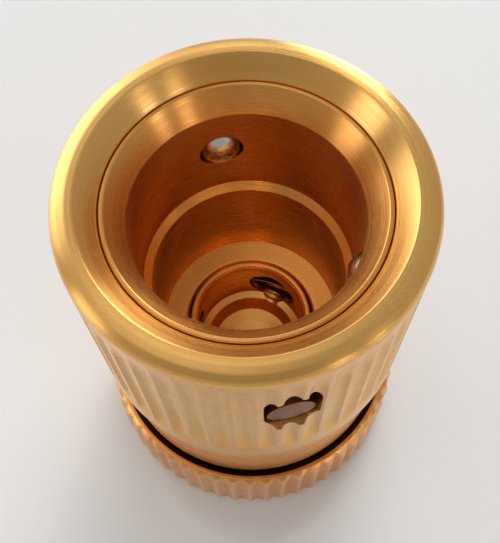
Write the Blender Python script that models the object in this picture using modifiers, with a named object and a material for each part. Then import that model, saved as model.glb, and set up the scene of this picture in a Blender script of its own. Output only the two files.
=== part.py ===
"""Garden hose quick coupling, female half, with ball lock, water stop and swivel nut.

The coupling stands on its swivel nut with its mouth up. The origin is the centre of
the nut's bottom face, and +Z is the axis on which every turned piece lies.
Sizes are in millimetres and become metres where a mesh is made.
"""

import math

import bmesh
import bpy
from mathutils import Matrix, Vector

MM = 0.001
MERGE = 0.000001
COLLECTION = "hose_coupling"

# Driving dimensions, in millimetres.
OVERALL_HEIGHT = 41.55
FIT_GAP = 0.3
EDGE_BREAK = 0.2
DRILL_END = 12.0

SLEEVE_RADIUS = 14.0
SLEEVE_BOTTOM = 20.0
SLEEVE_SKIRT_BORE = 12.9
SLEEVE_FLANGE_BOTTOM = 28.3
SLEEVE_FLANGE_TOP = 30.9
SLEEVE_LIP_RADIUS = 12.17
SLEEVE_LIP_BOTTOM = 40.1
SLEEVE_LIP_ROUNDING = ((13.3, 0.19), (13.78, 0.43))
SLEEVE_ROUNDING_DROP = 0.85
SLEEVE_SKIRT_EDGE = 0.25
FLUTE_COUNT = 48
FLUTE_RADIUS = 0.8
FLUTE_DEPTH = 0.45
FLUTE_TOP = 40.4
FLUTE_BOTTOM = 22.8
FLUTE_RUN_OUT = 1.4
FLUTE_TOP_RUN_OUT = 4.4
FLUTE_END_SHIFT = 0.5
FLUTE_SIDES = 10

NECK_RADIUS = 10.65
MOUTH_INNER_RADIUS = 10.3
MOUTH_EDGE = 0.1
MOUTH_TOP = 39.95
BORE_TOP = 37.93
BORE_RADIUS = 8.94
LEDGE_TOP = 27.7
LOWER_BORE_RADIUS = 8.23
LOWER_BORE_TOP = 27.18
FLOOR = 16.82
GUIDE_RADIUS = 6.0
SEAT_TOP = 11.35
RELIEF_RADIUS = 7.2
RELIEF_BOTTOM = 12.4
RELIEF_TOP = 15.7
CHAMBER_RADIUS = 7.9
HUB_RADIUS = 13.2
HUB_TOP = 16.4
GUIDE_STEP_RADIUS = 12.6
GUIDE_STEP_TOP = 20.6
HUB_BOTTOM = 9.8
TAIL_RADIUS = 12.2
TAIL_FACE = 6.4
NOZZLE_RADIUS = 9.0
NOZZLE_END = 2.2

BALL_RADIUS = 1.9
BALL_COUNT = 3
BALL_FIRST_AZIMUTH = 102.0
BALL_HEIGHT = 33.2
BALL_PROTRUSION = 0.9
BALL_LIP_RADIUS = 1.86
BALL_POCKET_RADIUS = 2.05
BALL_POCKET_START = 9.25
BALL_LIP_START = 7.0
BALL_LIP_END = 11.6
LAND_BORE = 12.1
LAND_TOP = 33.6
RELEASE_BORE = 12.95
RELEASE_BOTTOM = 35.0
RELEASE_TOP = 38.5

SLOT_AZIMUTH = -78.0
SLOT_WIDTH = 4.4
SLOT_BOTTOM = 28.6
SLOT_TOP = 36.0
SLOT_CUT_START = 9.0
SLOT_CUT_END = 16.0
PIN_RADIUS = 1.9
PIN_INNER_END = 9.5
PIN_OUTER_END = 13.45
PIN_HEIGHT = 30.8
PIN_POCKET_GAP = 0.1
PIN_EDGE = 0.2

NUT_TOP = 9.5
NUT_RADIUS = 14.75
NUT_TOP_RADIUS = 14.05
NUT_SHOULDER_RADIUS = 14.45
NUT_SHOULDER_DROP = 0.35
NUT_CREST_DROP = 1.6
NUT_BOTTOM_EDGE = (0.4, 0.5)
NUT_POCKET_BOTTOM = 4.3
NUT_POCKET_TOP = 8.3
NUT_LIP_TOP = 8.9
NUT_RIM_BORE = 13.7
TOOTH_COUNT = 54
TOOTH_DEPTH = 0.5
TOOTH_WIDTH_SHARE = 0.48
TOOTH_OVERCUT = 0.05
THREAD_MAJOR = 13.22
THREAD_MINOR = 12.06
THREAD_PITCH = 1.814
THREAD_START = 0.75
THREAD_TURNS = 2
THREAD_FLANKS = (0.4, 0.5, 0.88)

PLUNGER_RADIUS = 5.7
PLUNGER_TOP = 17.5
PLUNGER_FLANGE_RADIUS = 6.9
PLUNGER_BOTTOM = 8.3
PLUNGER_EDGE = 0.12
PLUNGER_NECK_DROP = 0.15
PLUNGER_BOSS_RADIUS = 3.7
PLUNGER_BOSS_DROP = 0.6
CUP_FLOOR = 9.4
CUP_FLOOR_RADIUS = 3.94
CUP_SHELF_INNER = (4.45, 11.1)
CUP_SHELF_OUTER = (5.2, 11.3)
CUP_STEP_BOTTOM = 15.2
CUP_STEP_TOP = 15.4
CUP_RADIUS = 5.0
CUP_MOUTH = 0.3
WINDOW_COUNT = 3
WINDOW_RADIUS = 2.5
WINDOW_HEIGHT = 13.5
WINDOW_CUT_START = 4.0
WINDOW_CUT_END = 7.0
WINDOW_FIRST_AZIMUTH = 61.5
SEAL_RING_RADIUS = 6.22
SEAL_SECTION = 0.6
SEAL_HEIGHT = 10.0
SEAL_GROOVE_GAP = 0.06
SEAL_GROOVE_TOP = (0.8, 1.0)

SLEEVE_SPRING_RADIUS = 11.7
SLEEVE_SPRING_WIRE = 0.5
SLEEVE_SPRING_TURNS = 3.25
SPRING_GAP = 0.1
VALVE_SPRING_WIRE = 0.35
VALVE_SPRING_TURNS = 3.0
VALVE_SPRING_LARGE = 6.7
VALVE_SPRING_SMALL = 4.15
COIL_STEPS = 16

SPRING_SEAT_BOTTOM = 3.5
SPRING_SEAT_TOP = 4.2
SEAT_HOLE_COUNT = 6
SEAT_HOLE_SPREAD = 3.95
SEAT_HOLE_RADIUS = 1.6
SEAT_CENTRE_RADIUS = 1.4
SEAT_DRILL_OVERRUN = 1.0
CLIP_BOTTOM = 2.8
CLIP_TOP = 3.4
CLIP_RADIUS = 8.2
CLIP_INNER_RADIUS = 7.1
CLIP_GAP_PLACE = (0.0, -8.0, 3.0)
CLIP_GAP_SIZE = (3.0, 4.0, 3.0)
CLIP_GROOVE_RADIUS = 8.35
CLIP_GROOVE_GAP = 0.05

SNAP_RING_HEIGHT = 7.6
SNAP_RING_RADIUS = 12.3
SNAP_RING_WIRE = 0.55
SNAP_RING_POINTS = 44
SNAP_RING_SPAN = 338.0
SNAP_RING_START = 101.0
SNAP_GROOVE_RADIUS = 11.7
SNAP_GROOVE_HALF = 0.6

WASHER_RADIUS = 11.9
WASHER_BORE = 9.3
WASHER_BOTTOM = 4.4
WASHER_TOP = 6.2

BODY_STEPS = 36
PLUNGER_STEPS = 24
DRILL_SIDES = 20
WINDOW_SIDES = 24
SHARP_ANGLE = 30.0


def clear_scene():
    """Remove every object, so that the model starts from an empty scene."""
    for old in list(bpy.data.objects):
        bpy.data.objects.remove(old, do_unlink=True)


def new_collection(name):
    """Return a new collection that is linked to the scene."""
    collection = bpy.data.collections.new(name)
    bpy.context.scene.collection.children.link(collection)
    return collection


def new_material(name, colour, roughness, metallic):
    """Return a Principled BSDF material with one colour."""
    material = bpy.data.materials.new(name)
    material.use_nodes = True
    shader = material.node_tree.nodes["Principled BSDF"]
    shader.inputs["Base Color"].default_value = (*colour, 1.0)
    shader.inputs["Roughness"].default_value = roughness
    shader.inputs["Metallic"].default_value = metallic
    material.diffuse_color = (*colour, 1.0)
    return material


def make_materials():
    """Return the finishes of the coupling by name."""
    return {
        "brass": new_material("brass", (0.78, 0.49, 0.17), 0.25, 1.0),
        "steel": new_material("steel", (0.62, 0.61, 0.58), 0.15, 1.0),
        "spring_steel": new_material("spring_steel", (0.55, 0.55, 0.53), 0.3, 1.0),
        "rubber": new_material("rubber", (0.03, 0.03, 0.03), 0.7, 0.0),
    }


def add_object(name, mesh, collection, material=None):
    """Link a new object that holds the mesh and its material."""
    thing = bpy.data.objects.new(name, mesh)
    collection.objects.link(thing)
    if material is not None:
        mesh.materials.append(material)
    return thing


def add_weld(thing):
    """Join the points that a turned or capped shape leaves in one place."""
    weld = thing.modifiers.new("weld", "WELD")
    weld.merge_threshold = MERGE


def add_turned(name, profile, steps, collection, material, closed=True):
    """Turn a profile of (radius, height) points about the Z axis."""
    mesh = bpy.data.meshes.new(name)
    points = [(radius * MM, 0.0, height * MM) for radius, height in profile]
    edges = [(i, i + 1) for i in range(len(points) - 1)]
    if closed:
        edges.append((len(points) - 1, 0))
    mesh.from_pydata(points, edges, [])
    thing = add_object(name, mesh, collection, material)
    screw = thing.modifiers.new("turn", "SCREW")
    screw.axis = "Z"
    screw.angle = math.tau
    screw.steps = steps
    screw.render_steps = steps
    screw.use_merge_vertices = True
    screw.merge_threshold = MERGE
    add_weld(thing)
    return thing


def add_cutter(name, mesh_maker, cutters):
    """Return a cutter whose mesh is filled by the given function."""
    mesh = bpy.data.meshes.new(name)
    shape = bmesh.new()
    mesh_maker(shape)
    shape.to_mesh(mesh)
    shape.free()
    cutter = add_object(name, mesh, cutters)
    cutter.hide_render = True
    cutter.display_type = "WIRE"
    return cutter


def cut(thing, cutter):
    """Cut the thing with the cutter."""
    boolean = thing.modifiers.new(cutter.name, "BOOLEAN")
    boolean.operation = "DIFFERENCE"
    boolean.solver = "EXACT"
    boolean.object = cutter


def radial_frame(azimuth, height):
    """Return a frame whose Z runs outwards at an azimuth and whose Y is up."""
    turn = Matrix.Rotation(math.radians(azimuth + 90.0), 4, "Z")
    tip = Matrix.Rotation(math.radians(90.0), 4, "X")
    return Matrix.Translation((0.0, 0.0, height * MM)) @ turn @ tip


def add_radial_drill(shape, azimuth, height, radius, span, segments):
    """Add a cylinder that runs outwards over a span (start, end) of distances from the axis."""
    start, end = span
    middle = Matrix.Translation((0.0, 0.0, (start + end) / 2 * MM))
    bmesh.ops.create_cone(
        shape,
        cap_ends=True,
        segments=segments,
        radius1=radius * MM,
        radius2=radius * MM,
        depth=(end - start) * MM,
        matrix=radial_frame(azimuth, height) @ middle,
    )


def add_axial_drill(shape, place, radius, span, segments):
    """Add an upright cylinder at a place (x, y) over a span (bottom, top) of heights."""
    bottom, top = span
    centre = Vector((place[0], place[1], (bottom + top) / 2)) * MM
    return bmesh.ops.create_cone(
        shape,
        cap_ends=True,
        segments=segments,
        radius1=radius * MM,
        radius2=radius * MM,
        depth=(top - bottom) * MM,
        matrix=Matrix.Translation(centre),
    )["verts"]


def ball_azimuths():
    """Return the azimuths of the locking balls, in degrees."""
    return [BALL_FIRST_AZIMUTH + 360.0 / BALL_COUNT * i for i in range(BALL_COUNT)]


def ball_rest_radius():
    """Return how far a ball's centre is from the axis when it locks a plug."""
    return BORE_RADIUS - BALL_PROTRUSION + BALL_RADIUS


def add_coupling_body(parts, cutters, material):
    """The turned body: mouth, stepped bore, floor, hub, tail and nozzle."""
    profile = [
        (MOUTH_INNER_RADIUS, MOUTH_TOP),
        (NECK_RADIUS - MOUTH_EDGE, MOUTH_TOP),
        (NECK_RADIUS, MOUTH_TOP - MOUTH_EDGE),
        (NECK_RADIUS, GUIDE_STEP_TOP),
        (GUIDE_STEP_RADIUS - EDGE_BREAK, GUIDE_STEP_TOP),
        (GUIDE_STEP_RADIUS, GUIDE_STEP_TOP - EDGE_BREAK),
        (GUIDE_STEP_RADIUS, HUB_TOP),
        (HUB_RADIUS - EDGE_BREAK, HUB_TOP),
        (HUB_RADIUS, HUB_TOP - EDGE_BREAK),
        (HUB_RADIUS, HUB_BOTTOM + EDGE_BREAK),
        (HUB_RADIUS - EDGE_BREAK, HUB_BOTTOM),
        (TAIL_RADIUS, HUB_BOTTOM),
        (TAIL_RADIUS, SNAP_RING_HEIGHT + SNAP_GROOVE_HALF),
        (SNAP_GROOVE_RADIUS, SNAP_RING_HEIGHT + SNAP_GROOVE_HALF),
        (SNAP_GROOVE_RADIUS, SNAP_RING_HEIGHT - SNAP_GROOVE_HALF),
        (TAIL_RADIUS, SNAP_RING_HEIGHT - SNAP_GROOVE_HALF),
        (TAIL_RADIUS, TAIL_FACE),
        (NOZZLE_RADIUS, TAIL_FACE),
        (NOZZLE_RADIUS, NOZZLE_END + EDGE_BREAK),
        (NOZZLE_RADIUS - EDGE_BREAK, NOZZLE_END),
        (CHAMBER_RADIUS, NOZZLE_END),
        (CHAMBER_RADIUS, CLIP_BOTTOM - CLIP_GROOVE_GAP),
        (CLIP_GROOVE_RADIUS, CLIP_BOTTOM - CLIP_GROOVE_GAP),
        (CLIP_GROOVE_RADIUS, CLIP_TOP + CLIP_GROOVE_GAP),
        (CHAMBER_RADIUS, CLIP_TOP + CLIP_GROOVE_GAP),
        (CHAMBER_RADIUS, SEAT_TOP - (CHAMBER_RADIUS - GUIDE_RADIUS)),
        (GUIDE_RADIUS, SEAT_TOP),
        (GUIDE_RADIUS, RELIEF_BOTTOM - EDGE_BREAK),
        (RELIEF_RADIUS, RELIEF_BOTTOM),
        (RELIEF_RADIUS, RELIEF_TOP),
        (GUIDE_RADIUS, RELIEF_TOP + EDGE_BREAK),
        (GUIDE_RADIUS, FLOOR - EDGE_BREAK),
        (GUIDE_RADIUS + EDGE_BREAK, FLOOR),
        (LOWER_BORE_RADIUS, FLOOR),
        (LOWER_BORE_RADIUS, LOWER_BORE_TOP),
        (BORE_RADIUS, LEDGE_TOP),
        (BORE_RADIUS, BORE_TOP),
    ]
    body = add_turned("coupling_body", profile, BODY_STEPS, parts, material)

    def ball_lips(shape):
        for azimuth in ball_azimuths():
            span = (BALL_LIP_START, BALL_LIP_END)
            add_radial_drill(shape, azimuth, BALL_HEIGHT, BALL_LIP_RADIUS, span, DRILL_SIDES)

    def ball_pockets(shape):
        for azimuth in ball_azimuths():
            span = (BALL_POCKET_START, DRILL_END)
            add_radial_drill(shape, azimuth, BALL_HEIGHT, BALL_POCKET_RADIUS, span, DRILL_SIDES)

    def pin_pocket(shape):
        radius = PIN_RADIUS + PIN_POCKET_GAP
        span = (PIN_INNER_END - EDGE_BREAK, DRILL_END)
        add_radial_drill(shape, SLOT_AZIMUTH, PIN_HEIGHT, radius, span, DRILL_SIDES)

    cut(body, add_cutter("ball_lip_drills", ball_lips, cutters))
    cut(body, add_cutter("ball_pocket_drills", ball_pockets, cutters))
    cut(body, add_cutter("pin_pocket_drill", pin_pocket, cutters))
    return body


def fill_flutes(shape):
    """Fill the cutter for the sleeve's grip: one round-bottomed groove for each flute."""
    centre = SLEEVE_RADIUS + FLUTE_RADIUS - FLUTE_DEPTH
    for i in range(FLUTE_COUNT):
        azimuth = math.tau * (i + 0.5) / FLUTE_COUNT
        outwards = Vector((math.cos(azimuth), math.sin(azimuth), 0.0))
        place = outwards * centre
        ring = add_axial_drill(
            shape, place, FLUTE_RADIUS, (FLUTE_BOTTOM, FLUTE_TOP), FLUTE_SIDES
        )
        faces = {face for vertex in ring for face in vertex.link_faces}
        edges = {edge for vertex in ring for edge in vertex.link_edges}
        for level in (FLUTE_BOTTOM + FLUTE_RUN_OUT, FLUTE_TOP - FLUTE_TOP_RUN_OUT):
            split = bmesh.ops.bisect_plane(
                shape,
                geom=list(faces) + list(edges) + ring,
                plane_co=(0.0, 0.0, level * MM),
                plane_no=(0.0, 0.0, 1.0),
                dist=MERGE,
            )
            faces = {item for item in split["geom"] if isinstance(item, bmesh.types.BMFace)}
            edges = {item for item in split["geom"] if isinstance(item, bmesh.types.BMEdge)}
            ring = [item for item in split["geom"] if isinstance(item, bmesh.types.BMVert)]
        for vertex in ring:
            height = vertex.co.z / MM
            if min(height - FLUTE_BOTTOM, FLUTE_TOP - height) < FLUTE_RUN_OUT / 2:
                vertex.co += outwards * FLUTE_END_SHIFT * MM


def fill_slot(shape):
    """Fill the cutter for the pin slot, a round drill that is drawn out along the sleeve."""
    middle = (SLOT_BOTTOM + SLOT_TOP) / 2
    stretch = (SLOT_TOP - SLOT_BOTTOM - SLOT_WIDTH) / 2 * MM
    span = (SLOT_CUT_START, SLOT_CUT_END)
    add_radial_drill(shape, SLOT_AZIMUTH, middle, SLOT_WIDTH / 2, span, DRILL_SIDES + 2)
    for vertex in shape.verts:
        vertex.co.z += stretch if vertex.co.z > middle * MM else -stretch


def add_locking_sleeve(parts, cutters, material):
    """The outer sleeve, which holds the balls in until it is drawn back."""
    profile = [
        (SLEEVE_LIP_RADIUS, OVERALL_HEIGHT),
        *((radius, OVERALL_HEIGHT - drop) for radius, drop in SLEEVE_LIP_ROUNDING),
        (SLEEVE_RADIUS, OVERALL_HEIGHT - SLEEVE_ROUNDING_DROP),
        (SLEEVE_RADIUS, SLEEVE_BOTTOM + SLEEVE_SKIRT_EDGE),
        (SLEEVE_RADIUS - SLEEVE_SKIRT_EDGE, SLEEVE_BOTTOM),
        (SLEEVE_SKIRT_BORE + SLEEVE_SKIRT_EDGE, SLEEVE_BOTTOM),
        (SLEEVE_SKIRT_BORE, SLEEVE_BOTTOM + SLEEVE_SKIRT_EDGE),
        (SLEEVE_SKIRT_BORE, SLEEVE_FLANGE_BOTTOM),
        (NECK_RADIUS + FIT_GAP, SLEEVE_FLANGE_BOTTOM),
        (NECK_RADIUS + FIT_GAP, SLEEVE_FLANGE_TOP),
        (LAND_BORE, SLEEVE_FLANGE_TOP),
        (LAND_BORE, LAND_TOP),
        (RELEASE_BORE, RELEASE_BOTTOM),
        (RELEASE_BORE, RELEASE_TOP),
        (NECK_RADIUS + FIT_GAP, RELEASE_TOP),
        (NECK_RADIUS + FIT_GAP, SLEEVE_LIP_BOTTOM),
    ]
    sleeve = add_turned("locking_sleeve", profile, FLUTE_COUNT, parts, material)
    cut(sleeve, add_cutter("flute_cutters", fill_flutes, cutters))
    cut(sleeve, add_cutter("slot_cutter", fill_slot, cutters))
    return sleeve


def fill_teeth(shape):
    """Fill the cutter for the nut's grip: one four-sided broach for each tooth gap."""
    root = NUT_RADIUS - TOOTH_DEPTH
    widest = NUT_RADIUS + TOOTH_OVERCUT
    half_width = TOOTH_WIDTH_SHARE * math.tau * widest / TOOTH_COUNT
    for i in range(TOOTH_COUNT):
        azimuth = math.tau * (i + 0.5) / TOOTH_COUNT
        turn = Matrix.Rotation(azimuth, 4, "Z")
        shift = Matrix.Translation((widest * MM, 0.0, NUT_TOP / 2 * MM))
        size = Matrix.Diagonal((widest - root, half_width, 1.0, 1.0))
        bmesh.ops.create_cone(
            shape,
            cap_ends=True,
            segments=4,
            radius1=MM,
            radius2=MM,
            depth=(NUT_TOP + 2.0) * MM,
            matrix=turn @ shift @ size,
        )


def thread_profile():
    """Return the points of the nut's thread, drawn as rings, from bottom to top."""
    low, high, end = (THREAD_PITCH * share for share in THREAD_FLANKS)
    points = []
    for turn in range(THREAD_TURNS):
        start = THREAD_START + THREAD_PITCH * turn
        points += [
            (THREAD_MINOR, start),
            (THREAD_MAJOR, start + low),
            (THREAD_MAJOR, start + high),
            (THREAD_MINOR, start + end),
        ]
    return points


def add_swivel_nut(parts, cutters, material):
    """The hose nut, which turns on the tail and has a toothed grip."""
    profile = [
        (NUT_TOP_RADIUS, NUT_TOP),
        (NUT_SHOULDER_RADIUS, NUT_TOP - NUT_SHOULDER_DROP),
        (NUT_RADIUS, NUT_TOP - NUT_CREST_DROP),
        (NUT_RADIUS, NUT_BOTTOM_EDGE[1]),
        (NUT_RADIUS - NUT_BOTTOM_EDGE[0], 0.0),
        (THREAD_MAJOR + EDGE_BREAK, 0.0),
        *thread_profile(),
        (THREAD_MAJOR - EDGE_BREAK / 2, NUT_POCKET_BOTTOM),
        (THREAD_MAJOR - EDGE_BREAK / 2, NUT_POCKET_TOP),
        (TAIL_RADIUS + FIT_GAP, NUT_POCKET_TOP),
        (TAIL_RADIUS + FIT_GAP, NUT_LIP_TOP),
        (NUT_RIM_BORE, NUT_LIP_TOP),
        (NUT_RIM_BORE, NUT_TOP),
    ]
    nut = add_turned("swivel_nut", profile, TOOTH_COUNT, parts, material)
    cut(nut, add_cutter("tooth_cutters", fill_teeth, cutters))
    return nut


def add_valve_plunger(parts, cutters, material):
    """The water-stop plunger: a cup with three drilled windows and a sealing flange."""
    groove_radius = PLUNGER_RADIUS - PLUNGER_NECK_DROP
    groove_bottom = SEAL_HEIGHT - SEAL_SECTION - SEAL_GROOVE_GAP
    profile = [
        (0.0, CUP_FLOOR),
        (CUP_FLOOR_RADIUS, CUP_FLOOR),
        CUP_SHELF_INNER,
        CUP_SHELF_OUTER,
        (CUP_SHELF_OUTER[0], CUP_STEP_BOTTOM),
        (CUP_RADIUS, CUP_STEP_TOP),
        (CUP_RADIUS, PLUNGER_TOP - CUP_MOUTH),
        (CUP_RADIUS + CUP_MOUTH, PLUNGER_TOP),
        (PLUNGER_RADIUS - PLUNGER_EDGE, PLUNGER_TOP),
        (PLUNGER_RADIUS, PLUNGER_TOP - PLUNGER_EDGE),
        (PLUNGER_RADIUS, SEAL_HEIGHT + SEAL_GROOVE_TOP[1]),
        (groove_radius, SEAL_HEIGHT + SEAL_GROOVE_TOP[0]),
        (groove_radius, groove_bottom),
        (PLUNGER_FLANGE_RADIUS, groove_bottom),
        (PLUNGER_FLANGE_RADIUS, PLUNGER_BOTTOM),
        (PLUNGER_BOSS_RADIUS, PLUNGER_BOTTOM),
        (PLUNGER_BOSS_RADIUS, PLUNGER_BOTTOM - PLUNGER_BOSS_DROP),
        (0.0, PLUNGER_BOTTOM - PLUNGER_BOSS_DROP),
    ]
    plunger = add_turned(
        "valve_plunger", profile, PLUNGER_STEPS, parts, material, closed=False
    )

    def windows(shape):
        span = (WINDOW_CUT_START, WINDOW_CUT_END)
        for i in range(WINDOW_COUNT):
            azimuth = WINDOW_FIRST_AZIMUTH + 360.0 / WINDOW_COUNT * i
            add_radial_drill(shape, azimuth, WINDOW_HEIGHT, WINDOW_RADIUS, span, WINDOW_SIDES)

    cut(plunger, add_cutter("window_drills", windows, cutters))
    return plunger


def add_ring_tube(name, ring_radius, tube_radius, height, parts, material):
    """Add a closed ring of round section, such as a seal."""
    bpy.ops.mesh.primitive_torus_add(
        location=(0.0, 0.0, height * MM),
        major_radius=ring_radius * MM,
        minor_radius=tube_radius * MM,
        major_segments=36,
        minor_segments=8,
    )
    ring = bpy.context.object
    ring.name = name
    move_to(ring, parts)
    ring.data.materials.append(material)
    return ring


def move_to(thing, collection):
    """Move an object from the collections that hold it into the given one."""
    for holder in list(thing.users_collection):
        holder.objects.unlink(thing)
    collection.objects.link(thing)


def add_wire(name, points, wire_radius, parts, material):
    """Add a closed tube of round wire that follows the points, given in millimetres."""
    curve = bpy.data.curves.new(name, "CURVE")
    curve.dimensions = "3D"
    curve.bevel_depth = wire_radius * MM
    curve.bevel_resolution = 2
    curve.use_fill_caps = True
    spline = curve.splines.new("POLY")
    spline.points.add(len(points) - 1)
    for spot, point in zip(spline.points, points):
        spot.co = (*(Vector(point) * MM), 1.0)
    curve.materials.append(material)
    wire = bpy.data.objects.new(name, curve)
    parts.objects.link(wire)
    return wire


def coil_points(turns, heights, radii):
    """Return the centre line of a compression spring whose end turns lie nearly flat."""
    low, high = heights
    radius_low, radius_high = radii
    count = int(turns * COIL_STEPS) + 1
    points = []
    for i in range(count):
        share = i / (count - 1)
        rise = share * share * (3.0 - 2.0 * share)
        radius = radius_low + (radius_high - radius_low) * share
        angle = math.tau * turns * share
        height = low + (high - low) * rise
        points.append((radius * math.cos(angle), radius * math.sin(angle), height))
    return points


def add_sleeve_spring(parts, material):
    """The spring round the neck, which pushes the sleeve forward."""
    low = GUIDE_STEP_TOP + SPRING_GAP + SLEEVE_SPRING_WIRE
    high = SLEEVE_FLANGE_BOTTOM - SPRING_GAP - SLEEVE_SPRING_WIRE
    radii = (SLEEVE_SPRING_RADIUS, SLEEVE_SPRING_RADIUS)
    points = coil_points(SLEEVE_SPRING_TURNS, (low, high), radii)
    return add_wire("sleeve_spring", points, SLEEVE_SPRING_WIRE, parts, material)


def add_valve_spring(parts, material):
    """The conical spring under the plunger, which shuts the water stop."""
    low = SPRING_SEAT_TOP + SPRING_GAP + VALVE_SPRING_WIRE
    high = PLUNGER_BOTTOM - SPRING_GAP - VALVE_SPRING_WIRE
    radii = (VALVE_SPRING_LARGE, VALVE_SPRING_SMALL)
    points = coil_points(VALVE_SPRING_TURNS, (low, high), radii)
    return add_wire("valve_spring", points, VALVE_SPRING_WIRE, parts, material)


def add_snap_ring(parts, material):
    """The open wire ring that keeps the nut on the tail."""
    points = []
    for i in range(SNAP_RING_POINTS):
        share = i / (SNAP_RING_POINTS - 1)
        angle = math.radians(SNAP_RING_START + SNAP_RING_SPAN * share)
        across = SNAP_RING_RADIUS * math.cos(angle)
        along = SNAP_RING_RADIUS * math.sin(angle)
        points.append((across, along, SNAP_RING_HEIGHT))
    return add_wire("nut_snap_ring", points, SNAP_RING_WIRE, parts, material)


def add_locking_balls(parts, material):
    """The three balls, each with its origin at its centre."""
    balls = []
    for number, azimuth in enumerate(ball_azimuths(), start=1):
        bpy.ops.mesh.primitive_uv_sphere_add(
            segments=16, ring_count=10, radius=BALL_RADIUS * MM
        )
        ball = bpy.context.object
        ball.name = f"locking_ball_{number}"
        angle = math.radians(azimuth)
        outwards = Vector((math.cos(angle), math.sin(angle), 0.0))
        ball.location = (outwards * ball_rest_radius() + Vector((0.0, 0.0, BALL_HEIGHT))) * MM
        ball.data.materials.append(material)
        move_to(ball, parts)
        balls.append(ball)
    return balls


def add_stop_pin(parts, material):
    """The pin pressed into the neck, which runs in the sleeve's slot."""
    mesh = bpy.data.meshes.new("stop_pin")
    shape = bmesh.new()
    length = PIN_OUTER_END - PIN_INNER_END
    bmesh.ops.create_cone(
        shape,
        cap_ends=True,
        segments=24,
        radius1=PIN_RADIUS * MM,
        radius2=PIN_RADIUS * MM,
        depth=length * MM,
    )
    shape.to_mesh(mesh)
    shape.free()
    pin = add_object("stop_pin", mesh, parts, material)
    outwards = Matrix.Translation((0.0, 0.0, (PIN_INNER_END + length / 2) * MM))
    pin.matrix_world = radial_frame(SLOT_AZIMUTH, PIN_HEIGHT) @ outwards
    bevel = pin.modifiers.new("edge", "BEVEL")
    bevel.width = PIN_EDGE * MM
    bevel.segments = 1
    bevel.limit_method = "ANGLE"
    return pin


def add_spring_seat(parts, cutters, material):
    """The drilled disc that the valve spring stands on."""
    profile = [
        (0.0, SPRING_SEAT_TOP),
        (CHAMBER_RADIUS - FIT_GAP, SPRING_SEAT_TOP),
        (CHAMBER_RADIUS - FIT_GAP, SPRING_SEAT_BOTTOM),
        (0.0, SPRING_SEAT_BOTTOM),
    ]
    seat = add_turned(
        "valve_spring_seat", profile, BODY_STEPS, parts, material, closed=False
    )

    def holes(shape):
        span = (SPRING_SEAT_BOTTOM - SEAT_DRILL_OVERRUN, SPRING_SEAT_TOP + SEAT_DRILL_OVERRUN)
        for i in range(SEAT_HOLE_COUNT):
            angle = math.tau * i / SEAT_HOLE_COUNT
            place = (SEAT_HOLE_SPREAD * math.cos(angle), SEAT_HOLE_SPREAD * math.sin(angle))
            add_axial_drill(shape, place, SEAT_HOLE_RADIUS, span, DRILL_SIDES)
        add_axial_drill(shape, (0.0, 0.0), SEAT_CENTRE_RADIUS, span, DRILL_SIDES)

    cut(seat, add_cutter("seat_drills", holes, cutters))
    return seat


def add_seat_clip(parts, cutters, material):
    """The open retaining ring that keeps the spring seat in the nozzle."""
    profile = [
        (CLIP_RADIUS, CLIP_TOP),
        (CLIP_RADIUS, CLIP_BOTTOM),
        (CLIP_INNER_RADIUS, CLIP_BOTTOM),
        (CLIP_INNER_RADIUS, CLIP_TOP),
    ]
    clip = add_turned("spring_seat_clip", profile, BODY_STEPS, parts, material)

    def gap(shape):
        bmesh.ops.create_cube(
            shape,
            size=1.0,
            matrix=Matrix.Translation(Vector(CLIP_GAP_PLACE) * MM)
            @ Matrix.Diagonal((*(Vector(CLIP_GAP_SIZE) * MM), 1.0)),
        )

    cut(clip, add_cutter("clip_gap", gap, cutters))
    return clip


def add_hose_washer(parts, material):
    """The flat rubber washer between the tail and the tap."""
    profile = [
        (WASHER_RADIUS, WASHER_TOP),
        (WASHER_RADIUS, WASHER_BOTTOM),
        (WASHER_BORE, WASHER_BOTTOM),
        (WASHER_BORE, WASHER_TOP),
    ]
    return add_turned("hose_washer", profile, BODY_STEPS, parts, material)


def shade_round_meshes(things):
    """Shade the meshes smooth with sharp edges where two turned faces meet."""
    for thing in things:
        if thing.type == "MESH":
            thing.data.shade_smooth()
            thing.data.set_sharp_from_angle(angle=math.radians(SHARP_ANGLE))


def main():
    """Build the whole coupling."""
    clear_scene()
    parts = new_collection(COLLECTION)
    cutters = new_collection(COLLECTION + "_cutters")
    finish = make_materials()
    add_coupling_body(parts, cutters, finish["brass"])
    add_locking_sleeve(parts, cutters, finish["brass"])
    add_sleeve_spring(parts, finish["spring_steel"])
    add_locking_balls(parts, finish["steel"])
    add_stop_pin(parts, finish["brass"])
    add_valve_plunger(parts, cutters, finish["brass"])
    add_ring_tube(
        "valve_seal", SEAL_RING_RADIUS, SEAL_SECTION, SEAL_HEIGHT, parts, finish["rubber"]
    )
    add_valve_spring(parts, finish["spring_steel"])
    add_spring_seat(parts, cutters, finish["brass"])
    add_seat_clip(parts, cutters, finish["spring_steel"])
    add_swivel_nut(parts, cutters, finish["brass"])
    add_snap_ring(parts, finish["spring_steel"])
    add_hose_washer(parts, finish["rubber"])
    shade_round_meshes(parts.objects)


main()
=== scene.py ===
"""Looks of a brass garden hose coupling with a ball lock, a water stop and a swivel nut.

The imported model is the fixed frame: each class below reads where its nodes are from the
frame, builds the fine pieces that stand for them and dresses them. Sizes are in
millimetres and become metres where a mesh is made. The axis of every turned piece is Z.
"""

import logging
import math
from collections import defaultdict
from collections.abc import Callable, Iterable, Sequence
from dataclasses import dataclass, field
from enum import Enum
from functools import cache

import bmesh
import bpy
from mathutils import Euler, Matrix, Vector


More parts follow.
